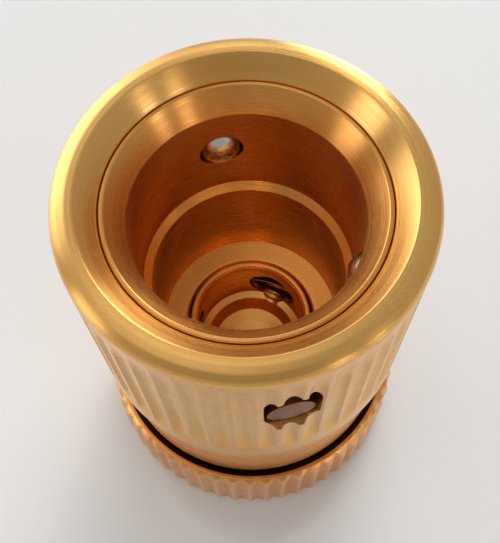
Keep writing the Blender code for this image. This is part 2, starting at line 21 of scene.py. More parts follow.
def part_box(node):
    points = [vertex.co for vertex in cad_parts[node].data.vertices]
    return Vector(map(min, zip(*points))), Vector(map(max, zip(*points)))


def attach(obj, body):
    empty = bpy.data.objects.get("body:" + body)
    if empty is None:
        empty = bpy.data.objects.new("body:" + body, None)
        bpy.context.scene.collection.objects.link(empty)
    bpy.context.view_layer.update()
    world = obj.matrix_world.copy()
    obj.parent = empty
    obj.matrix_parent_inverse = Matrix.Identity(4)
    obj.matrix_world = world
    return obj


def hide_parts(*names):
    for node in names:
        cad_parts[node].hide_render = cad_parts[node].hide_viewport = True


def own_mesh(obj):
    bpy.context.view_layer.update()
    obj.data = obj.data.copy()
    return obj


LOG = logging.getLogger("hose_coupling")
MM = 0.001
WIRE_ANGLE = 50.0
ROUND_ANGLE = 60.0
SOFT_CORNER = math.radians(172.0)
DRILL_SIDES = 48
WIRE_ROUNDING = 4
RIDGE_DEPTH = 0.07
RIDGE_PITCH = 0.28
# The colour that painted shade in hollows is darkened towards.
PAINTED_SHADE_BLACK = (0.0, 0.0, 0.0, 1.0)
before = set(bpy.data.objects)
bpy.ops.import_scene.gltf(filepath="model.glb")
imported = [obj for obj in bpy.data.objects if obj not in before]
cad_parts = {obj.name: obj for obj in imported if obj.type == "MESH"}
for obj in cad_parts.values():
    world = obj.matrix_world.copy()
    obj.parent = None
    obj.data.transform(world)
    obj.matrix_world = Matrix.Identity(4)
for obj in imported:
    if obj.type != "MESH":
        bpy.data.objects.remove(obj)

Point = tuple[float, float]
Colour = tuple[float, float, float]


class Body(Enum):
    """The bodies of the frame that pieces ride on."""

    COUPLING = "coupling"
    SLEEVE = "sleeve"
    PLUNGER = "plunger"
    NUT = "nut"


class Slot(Enum):
    """The record's material slots."""

    BRASS = "brass"
    BALL_STEEL = "ball_steel"
    SPRING_STEEL = "spring_steel"
    RUBBER = "rubber"


# ---------------------------------------------------------------- modelling


def clear_selection() -> None:
    """Deselect every object."""
    bpy.ops.object.select_all(action="DESELECT")


def activate(piece: bpy.types.Object) -> None:
    """Select one object alone and make it active.

    Args:
        piece: The object to work on.
    """
    clear_selection()
    piece.select_set(True)
    bpy.context.view_layer.objects.active = piece


def settle(piece: bpy.types.Object) -> None:
    """Apply an object's place, turn and scale to its mesh.

    Args:
        piece: The object to settle.
    """
    activate(piece)
    bpy.ops.object.transform_apply(location=True, rotation=True, scale=True)


def apply_modifiers(piece: bpy.types.Object) -> None:
    """Apply all modifiers of a piece, in order.

    Args:
        piece: The object whose modifiers are applied.
    """
    activate(piece)
    for modifier in list(piece.modifiers):
        bpy.ops.object.modifier_apply(modifier=modifier.name)


def eased(profile: Sequence[Point], ease: float, closed: bool = True, steps: int = 3) -> list[Point]:
    """Round the corners of a profile.

    Args:
        profile: The (radius, height) corners.
        ease: How far along each side a rounding reaches.
        closed: Whether the last corner joins the first.
        steps: The number of short sides in each rounding.

    Returns:
        The corners, each sharp one replaced by a short arc.
    """
    count = len(profile)
    result: list[Point] = []
    for i, corner in enumerate(profile):
        if not closed and i in (0, count - 1):
            result.append(corner)
            continue
        here = Vector(corner)
        back = Vector(profile[i - 1]) - here
        ahead = Vector(profile[(i + 1) % count]) - here
        if back.angle(ahead) > SOFT_CORNER:
            result.append(corner)
            continue
        start = here + back.normalized() * min(ease, 0.4 * back.length)
        end = here + ahead.normalized() * min(ease, 0.4 * ahead.length)
        for step in range(steps + 1):
            share = step / steps
            place = start.lerp(here, share).lerp(here.lerp(end, share), share)
            result.append((place.x, place.y))
    return result


def turn(name: str, profile: Sequence[Point], sides: int, closed: bool = True) -> bpy.types.Object:
    """Turn a profile about Z by drawing a ring out step by step.

    Args:
        name: The name of the new object.
        profile: The (radius, height) of each ring. None is on the axis.
        sides: The number of sides of each ring.
        closed: True joins the last ring to the first; False fills both end rings.

    Returns:
        The turned object, with its faces pointing outwards.
    """
    clear_selection()
    radius, height = profile[0]
    bpy.ops.mesh.primitive_circle_add(
        vertices=sides, radius=radius * MM, location=(0.0, 0.0, height * MM)
    )
    piece = bpy.context.object
    piece.name = name
    settle(piece)
    bpy.ops.object.mode_set(mode="EDIT")
    bpy.ops.mesh.select_mode(type="VERT")
    bpy.ops.mesh.select_all(action="SELECT")
    for next_radius, next_height in profile[1:]:
        rise = (0.0, 0.0, (next_height - height) * MM)
        bpy.ops.mesh.extrude_region_move(TRANSFORM_OT_translate={"value": rise})
        grow = next_radius / radius
        bpy.ops.transform.resize(value=(grow, grow, 1.0), center_override=(0.0, 0.0, 0.0))
        radius, height = next_radius, next_height
    bpy.ops.mesh.select_all(action="DESELECT")
    bpy.ops.mesh.select_non_manifold()
    if closed:
        bpy.ops.mesh.bridge_edge_loops()
    else:
        bpy.ops.mesh.edge_face_add()
        bpy.ops.mesh.select_all(action="DESELECT")
        shape = bmesh.from_edit_mesh(piece.data)
        for face in shape.faces:
            face.select_set(len(face.verts) > 4)
        bmesh.update_edit_mesh(piece.data)
        bpy.ops.mesh.select_mode(type="FACE")
        bpy.ops.mesh.poke()
    bpy.ops.mesh.select_all(action="SELECT")
    bpy.ops.mesh.normals_make_consistent(inside=False)
    bpy.ops.object.mode_set(mode="OBJECT")
    return piece


def press_rim(piece: bpy.types.Object, depth_at: Callable[[Vector], float]) -> None:
    """Press points of a turned piece towards the axis.

    Args:
        piece: The turned object.
        depth_at: Gives how deep, in millimetres, to press a point, from its place in millimetres.
    """
    activate(piece)
    bpy.ops.object.mode_set(mode="EDIT")
    bpy.ops.mesh.select_mode(type="VERT")
    shape = bmesh.from_edit_mesh(piece.data)
    groups: dict[float, list[int]] = defaultdict(list)
    for vertex in shape.verts:
        place = vertex.co / MM
        depth = depth_at(place)
        if depth > 0.0:
            radius = math.hypot(place.x, place.y)
            groups[round((radius - depth) / radius, 5)].append(vertex.index)
    for shrink, members in groups.items():
        bpy.ops.mesh.select_all(action="DESELECT")
        shape = bmesh.from_edit_mesh(piece.data)
        shape.verts.ensure_lookup_table()
        for index in members:
            shape.verts[index].select_set(True)
        shape.select_flush_mode()
        bmesh.update_edit_mesh(piece.data)
        bpy.ops.transform.resize(value=(shrink, shrink, 1.0), center_override=(0.0, 0.0, 0.0))
    bpy.ops.object.mode_set(mode="OBJECT")


def radial_place(azimuth: float, radius: float, height: float) -> Vector:
    """Return the place, in metres, at an azimuth in degrees, a radius and a height."""
    angle = math.radians(azimuth)
    return Vector((radius * math.cos(angle), radius * math.sin(angle), height)) * MM


def outward_turn(azimuth: float) -> Euler:
    """Return the turn that lays Z outwards at an azimuth in degrees."""
    return Euler((0.0, math.pi / 2, math.radians(azimuth)), "XYZ")


def radial_drill(azimuth: float, height: float, radius: float, span: Point) -> bpy.types.Object:
    """Add a drill that points outwards.

    Args:
        azimuth: Its direction about Z, in degrees.
        height: The height of its middle line.
        radius: Its radius.
        span: How far from the axis it begins and ends.

    Returns:
        The drill, as a settled cylinder.
    """
    clear_selection()
    start, end = span
    bpy.ops.mesh.primitive_cylinder_add(
        vertices=DRILL_SIDES,
        radius=radius * MM,
        depth=(end - start) * MM,
        location=radial_place(azimuth, (start + end) / 2, height),
        rotation=outward_turn(azimuth),
    )
    drill = bpy.context.object
    settle(drill)
    return drill


def ridged_drill(azimuth: float, height: float, radius: float, span: Point) -> bpy.types.Object:
    """Add a drill that leaves fine tool ridges.

    Args:
        azimuth: Its direction about Z, in degrees.
        height: The height of its middle line.
        radius: Its radius.
        span: How far from the axis it begins and ends.

    Returns:
        The drill, as a settled solid.
    """
    start, end = span
    count = int((end - start) / RIDGE_PITCH)
    outline = [(radius - RIDGE_DEPTH * (i % 2), RIDGE_PITCH * i) for i in range(count + 1)]
    drill = turn("drill", outline, DRILL_SIDES, closed=False)
    drill.rotation_euler = outward_turn(azimuth)
    drill.location = radial_place(azimuth, start, height)
    settle(drill)
    return drill


def cut(piece: bpy.types.Object, cutters: Iterable[bpy.types.Object]) -> None:
    """Cut a piece with each cutter, and remove the cutters.

    Args:
        piece: The object to cut.
        cutters: Closed objects that are taken away from it.
    """
    for cutter in cutters:
        modifier = piece.modifiers.new("cut", "BOOLEAN")
        modifier.operation = "DIFFERENCE"
        modifier.solver = "EXACT"
        modifier.object = cutter
        apply_modifiers(piece)
        bpy.data.objects.remove(cutter, do_unlink=True)


def smooth(piece: bpy.types.Object, angle: float) -> None:
    """Shade a piece smooth, and keep edges over an angle in degrees sharp.

    Args:
        piece: The object to shade.
        angle: The angle above which an edge stays sharp.
    """
    activate(piece)
    bpy.ops.object.shade_smooth_by_angle(angle=math.radians(angle))


@cache
def reach(node: str) -> tuple[float, float, float]:
    """Return the outer radius, the bottom and the top of a turned node, in millimetres."""
    low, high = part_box(node)
    return high.x / MM, low.z / MM, high.z / MM


# ---------------------------------------------------------------- finishes


class Web:
    """Adds and links the nodes of one node tree."""

    def __init__(self, tree: bpy.types.NodeTree) -> None:
        """Remember the tree that nodes are added to."""
        self.tree = tree

    def add(self, kind: str, **settings: object) -> bpy.types.Node:
        """Add a node.

        Args:
            kind: The node's type.
            **settings: Properties of the node.

        Returns:
            The new node.
        """
        node = self.tree.nodes.new(kind)
        for name, value in settings.items():
            setattr(node, name, value)
        return node

    def feed(self, socket: bpy.types.NodeSocket, value: object) -> None:
        """Link a socket to another one, or set its plain value.

        Args:
            socket: The input socket.
            value: An output socket, or a value.
        """
        if isinstance(value, bpy.types.NodeSocket):
            self.tree.links.new(value, socket)
        else:
            socket.default_value = value

    def math(self, operation: str, *values: object, clamp: bool = False) -> bpy.types.NodeSocket:
        """Add a Math node and return its result.

        Args:
            operation: The operation.
            *values: Sockets or numbers.
            clamp: Whether the result is kept from 0 to 1.

        Returns:
            The output socket.
        """
        node = self.add("ShaderNodeMath", operation=operation, use_clamp=clamp)
        for socket, value in zip(node.inputs, values):
            self.feed(socket, value)
        return node.outputs[0]

    def span(self, value: object, start: Point, end: Point = (0.0, 1.0)) -> bpy.types.NodeSocket:
        """Map a value from one span to another, smoothly.

        Args:
            value: The socket to map.
            start: The span that it comes from.
            end: The span that it goes to.

        Returns:
            The output socket.
        """
        node = self.add("ShaderNodeMapRange", interpolation_type="SMOOTHSTEP")
        names = ("Value", "From Min", "From Max", "To Min", "To Max")
        for name, item in zip(names, (value, *start, *end)):
            self.feed(node.inputs[name], item)
        return node.outputs["Result"]

    def blend(self, share: object, first: object, second: object) -> bpy.types.NodeSocket:
        """Mix two colours.

        Args:
            share: How much of the second colour is taken.
            first: The first colour.
            second: The second colour.

        Returns:
            The output socket.
        """
        node = self.add("ShaderNodeMix", data_type="RGBA")
        self.feed(node.inputs["Factor"], share)
        self.feed(node.inputs[6], first)
        self.feed(node.inputs[7], second)
        return node.outputs[2]

    def noise(
        self, vector: object, scale: object, detail: float = 2.0, roughness: float = 0.5
    ) -> bpy.types.NodeSocket:
        """Add a noise texture.

        Args:
            vector: The place that it is read at.
            scale: Its scale.
            detail: How many finer layers it has.
            roughness: How strong the finer layers are.

        Returns:
            The socket with its value.
        """
        node = self.add("ShaderNodeTexNoise")
        values = {"Vector": vector, "Scale": scale, "Detail": detail, "Roughness": roughness}
        for name, item in values.items():
            self.feed(node.inputs[name], item)
        return node.outputs["Fac"]

    def around_axis(self, vector: object) -> tuple[bpy.types.NodeSocket, bpy.types.NodeSocket]:
        """Return a place's distance from the Z axis, and its height.

        Args:
            vector: The place.

        Returns:
            The two output sockets.
        """
        parts = self.add("ShaderNodeSeparateXYZ")
        self.feed(parts.inputs[0], vector)
        squares = [self.math("POWER", parts.outputs[i], 2.0) for i in (0, 1)]
        return self.math("SQRT", self.math("ADD", *squares)), parts.outputs[2]


def new_group(
    name: str, inputs: dict[str, float], outputs: Sequence[str]
) -> tuple[Web, bpy.types.Node, bpy.types.Node]:
    """Start a shader node group that works from a place.

    Args:
        name: The group's name.
        inputs: The default of each number that it takes, by name.
        outputs: The names of the numbers that it gives.

    Returns:
        The group's web, its input node and its output node.
    """
    tree = bpy.data.node_groups.new(name, "ShaderNodeTree")
    tree.interface.new_socket(name="Vector", in_out="INPUT", socket_type="NodeSocketVector")
    for label, default in inputs.items():
        socket = tree.interface.new_socket(name=label, in_out="INPUT", socket_type="NodeSocketFloat")
        socket.default_value = default
    for label in outputs:
        tree.interface.new_socket(name=label, in_out="OUTPUT", socket_type="NodeSocketFloat")
    web = Web(tree)
    return web, web.add("NodeGroupInput"), web.add("NodeGroupOutput")


def new_material(name: str) -> tuple[bpy.types.Material, Web, bpy.types.Node, bpy.types.NodeSocket]:
    """Start a material.

    Args:
        name: The material's name.

    Returns:
        The material, its web, its shader and the socket with the Object coordinates.
    """
    material = bpy.data.materials.new(name)
    material.use_nodes = True
    web = Web(material.node_tree)
    shader = material.node_tree.nodes["Principled BSDF"]
    return material, web, shader, web.add("ShaderNodeTexCoord").outputs["Object"]


def make_lathe_marks() -> bpy.types.NodeTree:
    """Make the group for the fine rings that a lathe tool leaves.

    Returns:
        A group from a place to the height of the marks and a slow change along the profile.
    """
    web, given, result = new_group("lathe_marks", {"Pitch": 0.2, "Wander": 0.05}, ("Height", "Slow"))
    place = given.outputs["Vector"]
    radius, height = web.around_axis(place)
    waver = web.math("MULTIPLY", web.noise(place, 160.0, 1.0), given.outputs["Wander"])
    steps = web.math("DIVIDE", 1.0 / MM, given.outputs["Pitch"])
    along = web.add("ShaderNodeCombineXYZ")
    web.feed(along.inputs[0], web.math("ADD", web.math("MULTIPLY", radius, steps), waver))
    web.feed(along.inputs[1], web.math("MULTIPLY", height, steps))
    web.feed(result.inputs["Height"], web.noise(along.outputs[0], 1.0, 3.0, 0.6))
    web.feed(result.inputs["Slow"], web.noise(along.outputs[0], 0.13, 2.0, 0.5))
    return web.tree


def make_tarnish() -> bpy.types.NodeTree:
    """Make the group for the cloudy darkening of handled metal.

    Returns:
        A group from a place to a cloud mask and a mask of small specks.
    """
    web, given, result = new_group("tarnish", {"Cloud": 90.0, "Specks": 1400.0}, ("Clouds", "Spots"))
    place = given.outputs["Vector"]
    cloud = web.noise(place, given.outputs["Cloud"], 5.0, 0.62)
    web.feed(result.inputs["Clouds"], web.span(cloud, (0.4, 0.68)))
    speck = web.noise(place, given.outputs["Specks"], 2.0, 0.7)
    web.feed(result.inputs["Spots"], web.span(speck, (0.66, 0.74)))
    return web.tree


def make_edge_wear() -> bpy.types.NodeTree:
    """Make the group for the bright metal on rubbed edges.

    Returns:
        A group from a place to a mask that is 1 on outer edges.
    """
    web, given, result = new_group("edge_wear", {"Top": 0.53}, ("Mask",))
    form = web.add("ShaderNodeNewGeometry")
    rough = web.math("MULTIPLY", web.noise(given.outputs["Vector"], 700.0, 3.0), 0.02)
    bend = web.math("SUBTRACT", form.outputs["Pointiness"], rough)
    web.feed(result.inputs["Mask"], web.span(bend, (0.5, given.outputs["Top"])))
    return web.tree


def make_hairlines() -> bpy.types.NodeTree:
    """Make the group for fine straight scratches from handling.

    Returns:
        A group from a place to a mask that is 1 in the scratches.
    """
    web, given, result = new_group("hairlines", {}, ("Mask",))
    lines = []
    for turn_x, turn_z in ((0.3, 0.4), (1.1, 1.9)):
        turned = web.add("ShaderNodeMapping")
        web.feed(turned.inputs["Vector"], given.outputs["Vector"])
        turned.inputs["Rotation"].default_value = (turn_x, 0.2, turn_z)
        turned.inputs["Scale"].default_value = (14000.0, 380.0, 380.0)
        lines.append(web.span(web.noise(turned.outputs[0], 1.0, 0.0), (0.76, 0.86)))
    web.feed(result.inputs["Mask"], web.math("MAXIMUM", *lines))
    return web.tree


def make_painted_recess_shade() -> bpy.types.NodeTree:
    """Make the group for the painted shade in a ring-shaped hollow, where the tone is darkened towards
    black.

    Returns:
        A group from a place to a mask that is 1 within the given radii and heights.
    """
    sizes = dict.fromkeys(("Radius", "Half Width", "Height", "Half Height"), 0.0)
    web, given, result = new_group("painted_recess_shade", sizes, ("Mask",))
    radius, height = web.around_axis(given.outputs["Vector"])
    across = web.math("COMPARE", radius, given.outputs["Radius"], given.outputs["Half Width"])
    along = web.math("COMPARE", height, given.outputs["Height"], given.outputs["Half Height"])
    web.feed(result.inputs["Mask"], web.math("MULTIPLY", across, along))
    return web.tree


@dataclass(frozen=True)
class Effects:
    """The node groups that the finishes share."""

    lathe_marks: bpy.types.NodeTree = field(default_factory=make_lathe_marks)
    tarnish: bpy.types.NodeTree = field(default_factory=make_tarnish)
    edge_wear: bpy.types.NodeTree = field(default_factory=make_edge_wear)
    hairlines: bpy.types.NodeTree = field(default_factory=make_hairlines)
    painted_recess_shade: bpy.types.NodeTree = field(default_factory=make_painted_recess_shade)


@dataclass(frozen=True)
class MetalFinish:
    """A machined metal, with lathe marks, tarnish, rubbed edges, fine scratches and an optional ring of
    painted shade.
    """

    name: str
    slot: Slot
    clean: Colour
    aged: Colour
    roughness: float
    anisotropy: float = 0.0
    mark_pitch: float = 0.2
    mark_depth: float = 0.0006
    cloud_share: float = 0.5
    coat: float = 0.0
    rubbed: Colour = (0.97, 0.68, 0.34)
    wear: float = 0.0
    # An optional ring of painted shade: radius, half width, height and half height, in millimetres.
    painted_shade: tuple[float, float, float, float] | None = None

    def make(self, effects: Effects) -> bpy.types.Material:
        """Make the material.

        Args:
            effects: The shared node groups.

        Returns:
            The finished material.
        """
        material, web, shader, place = new_material(self.name)
        marks = self.place_group(web, effects.lathe_marks, place, Pitch=self.mark_pitch)
        clouds = self.place_group(web, effects.tarnish, place)
        lines = self.place_group(web, effects.hairlines, place)

        aged = (*self.aged, 1.0)
        streaks = web.span(marks.outputs["Slow"], (0.35, 0.65))
        age = web.math("MULTIPLY", clouds.outputs["Clouds"], self.cloud_share)
        age = web.math("ADD", age, web.math("MULTIPLY", streaks, 0.3), clamp=True)
        tone = web.blend(age, (*self.clean, 1.0), aged)
        tone = web.blend(web.math("MULTIPLY", clouds.outputs["Spots"], 0.35), tone, aged)
        if self.wear:
            edges = self.place_group(web, effects.edge_wear, place)
            bright = web.math("MULTIPLY", edges.outputs["Mask"], self.wear)
            tone = web.blend(bright, tone, (*self.rubbed, 1.0))
        # Painted shade: within the ring the tone is darkened nearly to black.
        if self.painted_shade:
            names = ("Radius", "Half Width", "Height", "Half Height")
            sizes = {name: size * MM for name, size in zip(names, self.painted_shade)}
            shade = self.place_group(web, effects.painted_recess_shade, place, **sizes)
            tone = web.blend(web.math("MULTIPLY", shade.outputs["Mask"], 0.96), tone, PAINTED_SHADE_BLACK)
        web.feed(shader.inputs["Base Color"], tone)

        spread = (self.roughness * 0.8, self.roughness * 1.25)
        grain = web.span(marks.outputs["Height"], (0.2, 0.8), spread)
        grain = web.math("ADD", grain, web.math("MULTIPLY", clouds.outputs["Clouds"], 0.06))
        grain = web.math("ADD", grain, web.math("MULTIPLY", lines.outputs["Mask"], 0.04))
        web.feed(shader.inputs["Roughness"], grain)

        scored = web.math("MULTIPLY", lines.outputs["Mask"], -0.1)
        relief = web.add("ShaderNodeBump")
        relief.inputs["Strength"].default_value = 1.0
        relief.inputs["Distance"].default_value = self.mark_depth * MM
        web.feed(relief.inputs["Height"], web.math("ADD", marks.outputs["Height"], scored))
        web.feed(shader.inputs["Normal"], relief.outputs["Normal"])

        shader.inputs["Metallic"].default_value = 1.0
        shader.inputs["Coat Weight"].default_value = self.coat
        shader.inputs["Coat Roughness"].default_value = 0.2
        if self.anisotropy:
            shader.inputs["Anisotropic"].default_value = self.anisotropy
            shader.inputs["Anisotropic Rotation"].default_value = 0.25
            around = web.add("ShaderNodeTangent", direction_type="RADIAL", axis="Z")
            web.feed(shader.inputs["Tangent"], around.outputs[0])
        return material

    @staticmethod
    def place_group(
        web: Web, tree: bpy.types.NodeTree, place: bpy.types.NodeSocket, **values: float
    ) -> bpy.types.Node:
        """Put one of the shared groups in a material.

        Args:
            web: The material's nodes.
            tree: The group.
            place: The socket with the Object coordinates.
            **values: The group's own values, by input name.

        Returns:
            The group's node.
        """
        node = web.add("ShaderNodeGroup", node_tree=tree)
        web.feed(node.inputs["Vector"], place)
        for name, value in values.items():
            node.inputs[name].default_value = value
        return node


@dataclass(frozen=True)
class RubberFinish:
    """A matt moulded rubber with a fine bloom."""

    name: str
    colour: Colour
    bloom: Colour
    slot: Slot = Slot.RUBBER

    def make(self, effects: Effects) -> bpy.types.Material:
        """Make the material.

        Args:
            effects: The shared node groups.

        Returns:
            The finished material.
        """
        material, web, shader, place = new_material(self.name)
        clouds = MetalFinish.place_group(web, effects.tarnish, place, Cloud=240.0)
        tone = web.blend(clouds.outputs["Clouds"], (*self.colour, 1.0), (*self.bloom, 1.0))
        web.feed(shader.inputs["Base Color"], tone)
        grain = web.span(clouds.outputs["Clouds"], (0.0, 1.0), (0.5, 0.72))
        web.feed(shader.inputs["Roughness"], grain)
        relief = web.add("ShaderNodeBump")
        relief.inputs["Distance"].default_value = 0.004 * MM
        web.feed(relief.inputs["Height"], web.noise(place, 6000.0, 2.0))
        web.feed(shader.inputs["Normal"], relief.outputs["Normal"])
        return material


class Finishes:
    """Every finish of the coupling, made once."""

    def __init__(self) -> None:
        """Make the materials."""
        effects = Effects()
        self.table = {
            "turned_brass": MetalFinish(
                name="turned_brass",
                slot=Slot.BRASS,
                clean=(0.90, 0.52, 0.15),
                aged=(0.84, 0.41, 0.09),
                roughness=0.26,
                anisotropy=0.82,
                coat=0.5,
            ),
            # The pin's brass is painted dark, as painted shade of the slot that it sits in.
            "pin_brass_painted_shade": MetalFinish(
                name="pin_brass_painted_shade",
                slot=Slot.BRASS,
                clean=(0.30, 0.13, 0.06),
                aged=(0.20, 0.08, 0.04),
                rubbed=(0.92, 0.62, 0.30),
                roughness=0.36,
                cloud_share=0.8,
                wear=0.1,
            ),
            "bored_brass": MetalFinish(
                name="bored_brass",
                slot=Slot.BRASS,
                clean=(0.90, 0.46, 0.13),
                aged=(0.79, 0.36, 0.09),
                roughness=0.25,
                anisotropy=0.85,
                mark_pitch=0.16,
                # Painted shade in the chamber behind the plunger's windows.
                painted_shade=(6.72, 0.66, 14.05, 1.9),
            ),
            "rolled_brass": MetalFinish(
                name="rolled_brass",
                slot=Slot.BRASS,
                clean=(0.90, 0.42, 0.13),
                aged=(0.78, 0.30, 0.08),
                roughness=0.28,
                mark_pitch=0.3,
                wear=0.6,
                # Painted shade in the groove between the hub and the nut's rim.
                painted_shade=(12.9, 0.78, 8.4, 0.9),
            ),
            "ball_steel": MetalFinish(
                name="ball_steel",
                slot=Slot.BALL_STEEL,
                clean=(0.86, 0.83, 0.77),
                aged=(0.70, 0.63, 0.54),
                rubbed=(0.92, 0.90, 0.86),
                wear=0.6,
                roughness=0.24,
                mark_depth=0.0001,
                cloud_share=0.3,
            ),
            "spring_wire": MetalFinish(
                name="spring_wire",
                slot=Slot.SPRING_STEEL,
                clean=(0.56, 0.55, 0.53),
                aged=(0.40, 0.38, 0.35),
                rubbed=(0.70, 0.69, 0.67),
                wear=0.6,
                roughness=0.3,
                mark_depth=0.0004,
            ),
            "seal_rubber": RubberFinish("seal_rubber", (0.022, 0.022, 0.024), (0.05, 0.05, 0.052)),
        }
        self.made = {name: finish.make(effects) for name, finish in self.table.items()}

    def dress(self, piece: bpy.types.Object, finish: str) -> None:
        """Give a piece its finish.

        Args:
            piece: The object to dress.
            finish: The finish's name.
        """
        piece.data.materials.clear()
        piece.data.materials.append(self.made[finish])


@dataclass
class Assembly:
    """Pieces of the coupling that are built together and share its finishes."""

    finishes: Finishes
    pieces: list[bpy.types.Object] = field(default_factory=list, init=False)

    def hand_over(
        self, piece: bpy.types.Object, finish: str, body: str, node: str, angle: float = 28.0
    ) -> None:
        """Shade and dress a piece, and let it ride on its body in place of its node.

        Args:
            piece: The finished object.
            finish: The name of its finish.
            body: The body that it moves with.
            node: The node that it stands for.
            angle: The angle, in degrees, above which an edge stays sharp.
        """
        smooth(piece, angle)
        self.finishes.dress(piece, finish)
        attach(piece, body)
        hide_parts(node)
        self.pieces.append(piece)


# ---------------------------------------------------------------- the coupling's pieces


@dataclass
class CouplingBody(Assembly):
    """The turned body: mouth, stepped bore, floor, hub, tail and nozzle."""

    neck: float = 10.65
    mouth_inner: float = 10.3
    mouth_outer: float = 10.55
    mouth_edge: float = 0.12
    mouth_top: float = 39.95
    bore_top: float = 37.93
    bore: float = 8.94
    ledge_top: float = 27.7
    ledge_drop: float = 0.52
    lower_bore: float = 8.23
    floor: float = 16.82
    guide: float = 6.0
    seat_top: float = 11.35
    relief: float = 7.2
    relief_low: float = 12.4
    relief_high: float = 15.7
    chamber: float = 7.9
    hub: float = 13.2
    hub_top: float = 16.4
    hub_bottom: float = 9.8
    step: float = 12.6
    step_top: float = 20.6
    tail: float = 12.2
    tail_face: float = 6.4
    nozzle: float = 9.0
    ring_groove: tuple[float, float, float] = (11.7, 7.0, 8.2)
    clip_groove: tuple[float, float, float] = (8.35, 2.75, 3.45)
    ball_azimuths: tuple[float, ...] = (102.0, 222.0, 342.0)
    ball_height: float = 33.2
    ball_lip: tuple[float, Point] = (1.86, (7.0, 9.4))
    ball_pocket: tuple[float, Point] = (2.05, (9.25, 12.0))
    pin_azimuth: float = -78.0
    pin_height: float = 30.8
    pin_pocket: tuple[float, Point] = (2.0, (9.3, 12.0))
    edge: float = 0.2
    hub_edge: float = 0.3
    ease: float = 0.07
    sides: int = 240

    def profile(self) -> list[Point]:
        """Return the outline, from the mouth's rim down the outside and up the bore.

        Returns:
            The (radius, height) corners.
        """
        bottom = reach("coupling_body")[1]
        groove_radius, groove_low, groove_high = self.ring_groove
        clip_radius, clip_low, clip_high = self.clip_groove
        return [
            (self.mouth_inner, self.mouth_top),
            (self.mouth_outer, self.mouth_top),
            (self.neck, self.mouth_top - self.mouth_edge),
            (self.neck, self.step_top),
            (self.step - self.edge, self.step_top),
            (self.step, self.step_top - self.edge),
            (self.step, self.hub_top),
            (self.hub - self.hub_edge, self.hub_top),
            (self.hub, self.hub_top - self.hub_edge),
            (self.hub, self.hub_bottom + self.edge),
            (self.hub - self.edge, self.hub_bottom),
            (self.tail, self.hub_bottom),
            (self.tail, groove_high),
            (groove_radius, groove_high),
            (groove_radius, groove_low),
            (self.tail, groove_low),
            (self.tail, self.tail_face),
            (self.nozzle, self.tail_face),
            (self.nozzle, bottom + self.edge),
            (self.nozzle - self.edge, bottom),
            (self.chamber, bottom),
            (self.chamber, clip_low),
            (clip_radius, clip_low),
            (clip_radius, clip_high),
            (self.chamber, clip_high),
            (self.chamber, self.seat_top - (self.chamber - self.guide)),
            (self.guide, self.seat_top),
            (self.guide, self.relief_low - self.edge),
            (self.relief, self.relief_low),
            (self.relief, self.relief_high),
            (self.guide, self.relief_high + self.edge),
            (self.guide, self.floor - self.edge),
            (self.guide + self.edge, self.floor),
            (self.lower_bore, self.floor),
            (self.lower_bore, self.ledge_top - self.ledge_drop),
            (self.bore, self.ledge_top),
            (self.bore, self.bore_top),
        ]

    def build(self) -> None:
        """Build and dress the body."""
        piece = turn("body_turned", eased(self.profile(), self.ease), self.sides)
        drills = []
        for azimuth in self.ball_azimuths:
            for radius, span in (self.ball_lip, self.ball_pocket):
                drills.append(radial_drill(azimuth, self.ball_height, radius, span))
        drills.append(radial_drill(self.pin_azimuth, self.pin_height, *self.pin_pocket))
        cut(piece, drills)
        self.hand_over(piece, "bored_brass", Body.COUPLING.value, "coupling_body")


